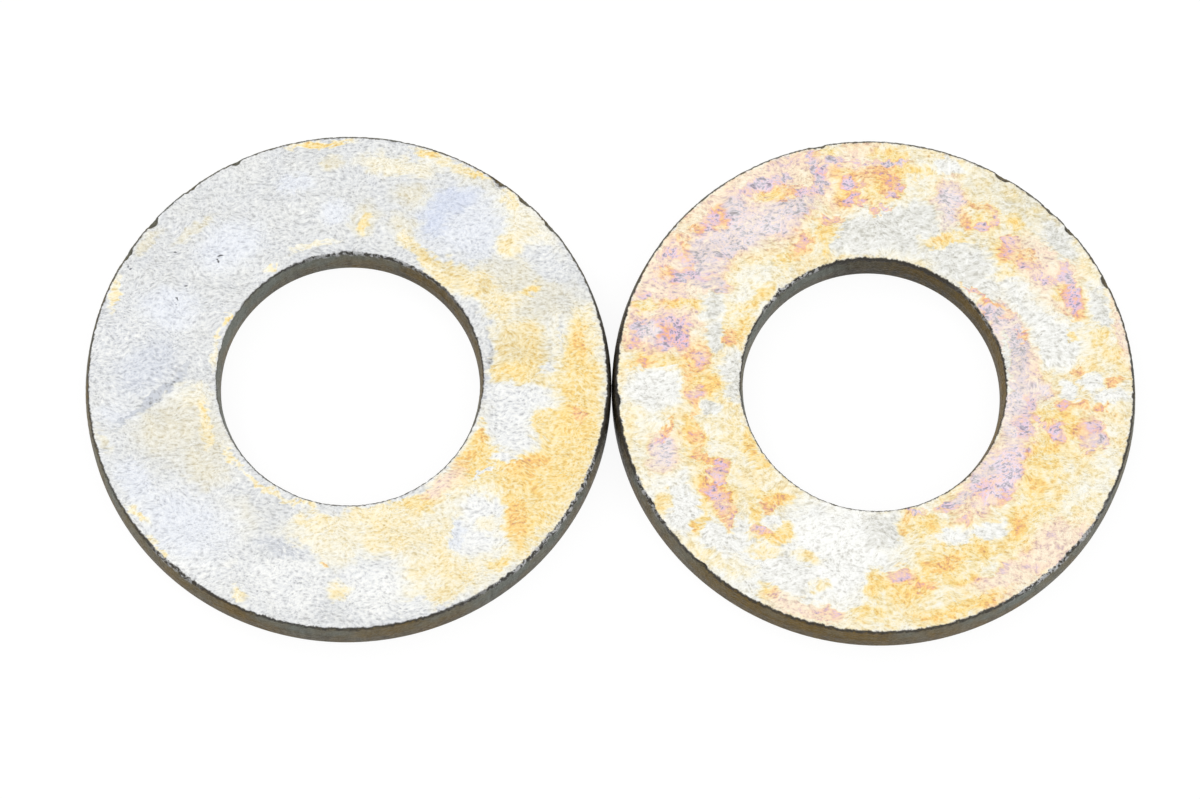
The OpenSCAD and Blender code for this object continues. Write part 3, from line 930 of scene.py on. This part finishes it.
def punched_wall(graph, crumbs):
    """The colour of the walls: torn at the top, burnished below, and chipped where the tear is fresh."""
    torn_end = graph.plus(0.12, graph.tear, 0.2)
    torn_depth = graph.math("SUBTRACT", graph.plus(graph.depth, crumbs, TORN_CRUMBS), torn_end)
    torn = graph.remap(torn_depth, 0.1, -0.1, 0.0, TORN_SHARE)
    wall = graph.mix(torn, burnished_wall(graph), linear(TORN_METAL))
    chips = graph.remap(graph.noise(graph.seeded, "chips").outputs[0], 0.47, 0.56)
    fresh = graph.remap(graph.tear, 0.85, 1.2)
    high = graph.remap(graph.depth, 0.55, 0.3)
    lit = graph.remap(graph.attribute("shade"), 0.35, 0.2)
    return graph.mix(graph.product(fresh, high, lit, chips), wall, linear(CHIPPED_METAL))


def wall_share(graph, crumbs):
    """1 on the punched walls and 0 on the faces. The plating ends in a crumbling lip over the rim."""
    lip_end = graph.plus(0.14, graph.tear, -0.08)
    lip_depth = graph.math("SUBTRACT", graph.plus(graph.depth, crumbs, LIP_CRUMBS), lip_end)
    above_underside = graph.remap(graph.height, 0.02, 0.14)
    return graph.product(graph.remap(lip_depth, -0.05, 0.06), above_underside)


def empty_material(name):
    """A node material without nodes."""
    material = bpy.data.materials.new(name)
    material.use_nodes = True
    material.node_tree.nodes.clear()
    return material


def plating_material(name, centre, style, patches):
    """Passivated zinc on the faces, and bare torn or burnished steel on the punched walls."""
    material = empty_material(name)
    graph = Surface(material.node_tree, centre, style)
    crumbs = graph.wave(graph.seeded, "crumbs")
    walled = wall_share(graph, crumbs)
    colour = graph.mix(walled, plated_face(graph, patches), punched_wall(graph, crumbs))
    finish = {
        setting: graph.mix_number(walled, value, PUNCHED_FINISH[setting])
        for setting, value in PLATED_FINISH.items()
    }
    finish["Roughness"] = graph.plus(finish["Roughness"], graph.grain, GRAIN_ROUGHNESS)
    relief = {"Strength": 1.0, "Distance": RELIEF_HEIGHT * MM, "Height": graph.relief}
    bump = graph.node("ShaderNodeBump", relief).outputs[0]
    shader = graph.node("ShaderNodeBsdfPrincipled", {"Base Color": colour, "Normal": bump, **finish})
    graph.node("ShaderNodeOutputMaterial", {0: shader.outputs[0]})
    return material


def steps_between(start, end, steps):
    """Points on a straight line, without its first."""
    return [start.lerp(end, i / steps) for i in range(1, steps + 1)]


def arc_between(centre, width, height, start, end, steps):
    """Points on part of an ellipse, without the first. Angles are in degrees."""
    angles = [math.radians(start + (end - start) * i / steps) for i in range(1, steps + 1)]
    return [centre + Vector((width * math.cos(a), height * math.sin(a))) for a in angles]


def wall_section(radius, outward, rim_width, thickness):
    """A wall from the face's edge down to the underside. Outward is 1 outside and -1 in the hole."""
    tear = radius - outward * TEAR_WIDTH
    rim_centre = Vector((tear - outward * rim_width, thickness - RIM_HEIGHT))
    roll_centre = Vector((radius - outward * ROLL_WIDTH, ROLL_HEIGHT))
    rim = arc_between(rim_centre, outward * rim_width, RIM_HEIGHT, 90, 0, RIM_STEPS)
    torn = steps_between(rim[-1], Vector((radius, BAND_TOP)), TEAR_STEPS)
    band = steps_between(torn[-1], Vector((radius, ROLL_HEIGHT)), BAND_STEPS)
    roll = arc_between(roll_centre, outward * ROLL_WIDTH, ROLL_HEIGHT, 0, -90, ROLL_STEPS)
    return [Vector((rim_centre.x, thickness))] + rim + torn + band + roll


def lengths_along(points):
    """How far each point lies along its line."""
    lengths = [0.0]
    for before, after in zip(points, points[1:]):
        lengths.append(lengths[-1] + (after - before).length)
    return lengths


def face_radii(inner_edge, outer_edge):
    """Radii across the face, closer together near its edges."""
    start, end = inner_edge + BORDER_WIDTH, outer_edge - BORDER_WIDTH
    border = [BORDER_WIDTH * i / BORDER_STEPS for i in range(1, BORDER_STEPS)]
    middle = [start + (end - start) * i / FACE_STEPS for i in range(FACE_STEPS + 1)]
    return [inner_edge + step for step in border] + middle + [end + step for step in border]


def washer_section(outer_radius, bore_radius, thickness):
    """The closed section as (radius, height, depth, share): depth runs down a wall from the face's edge, and
    is negative on the face; share is 0 at the hole and 1 at the outside."""
    outer = wall_section(outer_radius, 1, OUTER_RIM_WIDTH, thickness)
    bore = wall_section(bore_radius, -1, BORE_RIM_WIDTH, thickness)
    inner_edge = bore[0].x
    outer_edge = outer[0].x
    points = [(p.x, p.y, depth, 0.0) for p, depth in zip(bore, lengths_along(bore))][::-1]
    for radius in face_radii(inner_edge, outer_edge):
        depth = -min(radius - inner_edge, outer_edge - radius)
        points.append((radius, thickness, depth, (radius - inner_edge) / (outer_edge - inner_edge)))
    points += [(p.x, p.y, depth, 1.0) for p, depth in zip(outer, lengths_along(outer))]
    deepest = points[-1][2]
    for i in range(1, UNDERSIDE_STEPS):
        radius = outer[-1].x + (bore[-1].x - outer[-1].x) * i / UNDERSIDE_STEPS
        points.append((radius, 0.0, deepest, 1 - i / UNDERSIDE_STEPS))
    return points


def spun_ring(points):
    """A bmesh ring spun from the section, with its depth and share kept on the vertices. One sector is
    spun finely, and the rest are copies of it, merged where they meet."""
    ring = bmesh.new()
    depth_layer = ring.verts.layers.float.new("depth")
    share_layer = ring.verts.layers.float.new("share")
    verts = []
    for radius, height, depth, share in points:
        vert = ring.verts.new((radius, 0, height))
        vert[depth_layer] = depth
        vert[share_layer] = share
        verts.append(vert)
    edges = [ring.edges.new((a, b)) for a, b in zip(verts, verts[1:] + verts[:1])]
    sector = 2 * math.pi / SECTORS
    around = {"axis": (0, 0, 1), "cent": (0, 0, 0)}
    bmesh.ops.spin(ring, geom=verts + edges, steps=SECTOR_STEPS, angle=sector, **around)
    made = list(ring.verts) + list(ring.edges) + list(ring.faces)
    copies = SECTORS - 1
    bmesh.ops.spin(ring, geom=made, steps=copies, angle=sector * copies, use_duplicate=True, **around)
    bmesh.ops.remove_doubles(ring, verts=ring.verts, dist=0.001)
    bmesh.ops.recalc_face_normals(ring, faces=ring.faces)
    return ring


def rise(value, low, high):
    """0 below low, 1 above high, and a smooth step between them."""
    share = min(max((value - low) / (high - low), 0.0), 1.0)
    return share * share * (3 - 2 * share)


def swell(value, start, full, fading, end):
    """0 outside start and end, 1 from full to fading, and smooth steps between them."""
    return rise(value, start, full) * (1 - rise(value, fading, end))


def ragged(point, waves, seed):
    """Noise at a point, summed over waves of (length, height)."""
    return sum(size * noise.noise((point + seed) / length) for length, size in waves)


def key_at(keys, angle):
    """The tear, brown and shade at an angle, between the wall's keys on either side of it."""
    first, last = keys[0], keys[-1]
    around = [(last[0] - 360, *last[1:]), *keys, (first[0] + 360, *first[1:])]
    place = next(i for i, key in enumerate(around) if key[0] > angle)
    before, after = around[place - 1], around[place]
    share = rise(angle, before[0], after[0])
    return [a + (b - a) * share for a, b in zip(before[1:], after[1:])]


def edge_at(style, outside, away, radius):
    """One place round the ring: how far the tear bites in, how far the rim sags, and the wall's key."""
    seed = Vector(style["seed"])
    angle = math.degrees(math.atan2(away.y, away.x)) % 360
    key = key_at(style["outer wall" if outside else "bore wall"], angle)
    rim = away * radius
    bite = abs(ragged(rim, TEAR_WAVES, seed))
    sag = abs(ragged(rim, SAG_WAVES, seed * 2))
    return bite * key[0], sag * key[0], key


def wear_edges(ring, style, outer_radius, bore_radius):
    """Tears the rims, roughens the torn walls and lowers the face a little where the tear pulls it."""
    depth_layer = ring.verts.layers.float["depth"]
    share_layer = ring.verts.layers.float["share"]
    key_layers = [ring.verts.layers.float.new(name) for name in ("tear", "brown", "shade")]
    seed = Vector(style["seed"])
    edges = {}
    for vert in ring.verts:
        depth = vert[depth_layer]
        outside = vert[share_layer] > 0.5
        away = Vector((vert.co.x, vert.co.y, 0)).normalized()
        column = (outside, round(away.x, 5), round(away.y, 5))
        if column not in edges:
            edges[column] = edge_at(style, outside, away, outer_radius if outside else bore_radius)
        bite, sag, key = edges[column]
        for layer, value in zip(key_layers, key):
            vert[layer] = value
        bite *= swell(depth, *TORN_ZONE)
        pitted = swell(depth, *PITTED_ZONE)
        if pitted:
            bite += abs(ragged(vert.co, PIT_WAVES, seed)) * pitted
        vert.co += (-away if outside else away) * bite
        vert.co.z -= sag * swell(depth, *SAGGING_ZONE)


def scoop_nicks(ring, nicks, outer_radius, thickness, seed):
    """Pushes the rim back to the surface of each nick's sphere."""
    share_layer = ring.verts.layers.float["share"]
    verts = [vert for vert in ring.verts if vert[share_layer] > NICKED_SHARE]
    for angle, bite, radius in nicks:
        reach = TEAR_WIDTH + OUTER_RIM_WIDTH + bite
        turn = math.radians(angle)
        out = outer_radius - reach + radius * math.cos(NICK_TILT)
        up = thickness + radius * math.sin(NICK_TILT)
        middle = Vector((out * math.cos(turn), out * math.sin(turn), up))
        for vert in verts:
            offset = vert.co - middle
            rough = radius * (1 + NICK_ROUGHNESS * noise.noise((vert.co + seed) / NICK_GRAIN))
            if offset.length < rough:
                vert.co = middle + offset.normalized() * rough
                vert.co.z = min(vert.co.z, thickness)


def shift_bore(ring, shift):
    """Moves the hole off centre, and the metal round it by its share."""
    share_layer = ring.verts.layers.float["share"]
    for vert in ring.verts:
        vert.co += Vector((shift.x, shift.y, 0)) * (1 - vert[share_layer])


def reaches(patch, side_x, side_y):
    """Whether a patch may show in the quarter of its washer on these sides of the centre."""
    tint, x, y, half_length, half_width, turn = patch
    reach = max(half_length, half_width) * PATCH_OUTSIDE + WANDER_REACH
    return x * side_x > -reach and y * side_y > -reach


def paint_quarters(washer, centre, style):
    """Gives each quarter a material of its own, because Cycles has no room for every patch in one. A patch
    on the border is in both, so no seam shows."""
    quarters = [(side_x, side_y) for side_x in (-1, 1) for side_y in (-1, 1)]
    for side_x, side_y in quarters:
        patches = [patch for patch in style["patches"] if reaches(patch, side_x, side_y)]
        side = "_left" if side_x < 0 else "_right"
        name = washer.name + side + ("_front" if side_y < 0 else "_back")
        washer.data.materials.append(plating_material(name, centre, style, patches))
    for face in washer.data.polygons:
        side_x = 1 if face.center.x > centre.x else -1
        side_y = 1 if face.center.y > centre.y else -1
        face.material_index = quarters.index((side_x, side_y))


def make_washer(name, node, hole, style):
    """One washer in its node's place."""
    low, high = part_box(node)
    centre = (low + high) / 2
    outer_radius = (high.x - low.x) / 2 / MM
    thickness = (high.z - low.z) / MM
    bore_radius = hole["dims"]["r_mm"]
    ring = spun_ring(washer_section(outer_radius, bore_radius, thickness))
    wear_edges(ring, style, outer_radius, bore_radius)
    scoop_nicks(ring, style["nicks"], outer_radius, thickness, Vector(style["seed"]))
    shift_bore(ring, (Vector(hole["pos_m"]) - centre) / MM)
    mesh = bpy.data.meshes.new(name)
    ring.to_mesh(mesh)
    ring.free()
    mesh.transform(Matrix.Translation((centre.x, centre.y, low.z)) @ Matrix.Scale(MM, 4))
    mesh.shade_smooth()
    washer = bpy.data.objects.new(name, mesh)
    bpy.context.scene.collection.objects.link(washer)
    paint_quarters(washer, centre, style)
    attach(washer, "root")
    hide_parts(node)


LEFT_STYLE = {
    "slot": "pale_plating",
    "seed": (31.0, 7.0, 3.0),
    "nicks": LEFT_NICKS,
    "patches": LEFT_PATCHES,
    "base": (0.22, 0.2, 0.65),
    "film mottle": 0.2,
    "cover mottle": 0.5,
    "dull zinc": COOL_ZINC,
    # Specks and stains darken the grain's hollows, and the grain contrast darkens its hollows and lightens
    # its tops: partly painted shade of the relief
    "specks": 0.35,
    "stains": 0.3,
    "grain contrast": 1.5,
    "outer wall": LEFT_OUTER_WALL,
    "bore wall": LEFT_BORE_WALL,
}
RIGHT_STYLE = {
    "slot": "gold_plating",
    "seed": (-12.0, 23.0, 5.0),
    "nicks": RIGHT_NICKS,
    "patches": RIGHT_PATCHES,
    "base": (0.47, 0.6, 0.2),
    "film mottle": 0.5,
    "cover mottle": 1.0,
    "dull zinc": WARM_ZINC,
    # Specks and stains darken the grain's hollows, and the grain contrast darkens its hollows and lightens
    # its tops: partly painted shade of the relief
    "specks": 0.3,
    "stains": 0.35,
    "grain contrast": 1.7,
    "outer wall": RIGHT_OUTER_WALL,
    "bore wall": RIGHT_BORE_WALL,
}


def add_camera():
    """Looks down on the pair as in the photo: from the front, a little to the left, rolled a little."""
    azimuth, elevation, roll = math.radians(-3.9), math.radians(71.35), math.radians(4.12)
    target = Vector((-0.72, -0.46, 0)) * MM
    distance = 292.8 * MM
    back = Vector((
        math.sin(azimuth) * math.cos(elevation),
        -math.cos(azimuth) * math.cos(elevation),
        math.sin(elevation),
    ))
    level = Vector((math.cos(azimuth), math.sin(azimuth), 0))
    right = level * math.cos(roll) + back.cross(level) * math.sin(roll)
    camera_data = bpy.data.cameras.new("camera")
    camera_data.sensor_width = 36
    camera_data.lens = 136.7
    camera_data.clip_start = 0.01
    camera = bpy.data.objects.new("camera", camera_data)
    turn = Matrix((right, back.cross(right), back)).transposed().to_4x4()
    camera.matrix_world = Matrix.Translation(target + back * distance) @ turn
    bpy.context.scene.collection.objects.link(camera)
    bpy.context.scene.camera = camera


def seen_directly(graph):
    """1 for rays from the camera, or by way of gloss or glass, and 0 for soft light."""
    path = graph.node("ShaderNodeLightPath").outputs
    seen = graph.math("MAXIMUM", path["Is Camera Ray"], path["Is Glossy Ray"])
    return graph.math("MAXIMUM", seen, path["Is Transmission Ray"])


def add_floor():
    """A wide table top that takes the washers' soft shadow. Its glow makes it white to the camera."""
    half_width = 3.0
    gap = 0.02 * MM
    grey = (0.14, 0.14, 0.14, 1)
    glow_strength = 0.9
    table = bmesh.new()
    bmesh.ops.create_grid(table, x_segments=1, y_segments=1, size=half_width)
    mesh = bpy.data.meshes.new("floor")
    table.to_mesh(mesh)
    table.free()
    floor = bpy.data.objects.new("floor", mesh)
    floor.location.z = -gap
    bpy.context.scene.collection.objects.link(floor)
    material = empty_material("pale_floor")
    graph = Graph(material.node_tree)
    matt = graph.node("ShaderNodeBsdfDiffuse", {"Color": grey})
    glow = graph.node("ShaderNodeEmission", {"Strength": graph.product(seen_directly(graph), glow_strength)})
    both = graph.node("ShaderNodeAddShader", {0: matt.outputs[0], 1: glow.outputs[0]})
    graph.node("ShaderNodeOutputMaterial", {0: both.outputs[0]})
    floor.data.materials.append(material)


def add_world():
    """An even grey room that looks white behind the table."""
    world = bpy.data.worlds.new("room")
    bpy.context.scene.world = world
    world.use_nodes = True
    world.node_tree.nodes.clear()
    graph = Graph(world.node_tree)
    light_given, light_seen = 0.845, 1.0
    strength = graph.mix_number(seen_directly(graph), light_given, light_seen)
    light = graph.node("ShaderNodeBackground", {"Color": (1, 1, 1, 1), "Strength": strength})
    graph.node("ShaderNodeOutputWorld", {0: light.outputs[0]})


def add_soft_box(name, place, size, power):
    """A square lamp that faces the washers."""
    lamp_data = bpy.data.lights.new(name, "AREA")
    lamp_data.size = size
    lamp_data.energy = power
    lamp = bpy.data.objects.new(name, lamp_data)
    lamp.location = place
    lamp.rotation_euler = Vector(place).to_track_quat("Z", "Y").to_euler()
    bpy.context.scene.collection.objects.link(lamp)


add_camera()
mounts = {mount["name"]: mount for mount in frame["record"]["mounts"]}
make_washer("left_ring", "left_washer", mounts["left_hole"], LEFT_STYLE)
make_washer("right_ring", "right_washer", mounts["right_hole"], RIGHT_STYLE)
add_floor()
add_world()
add_soft_box("key_soft_box", place=(-0.45, 0.45, 0.45), size=0.3, power=1.1)
add_soft_box("fill_soft_box", place=(0.5, -0.4, 0.4), size=0.3, power=0.6)
bpy.context.scene.view_settings.view_transform = "Standard"
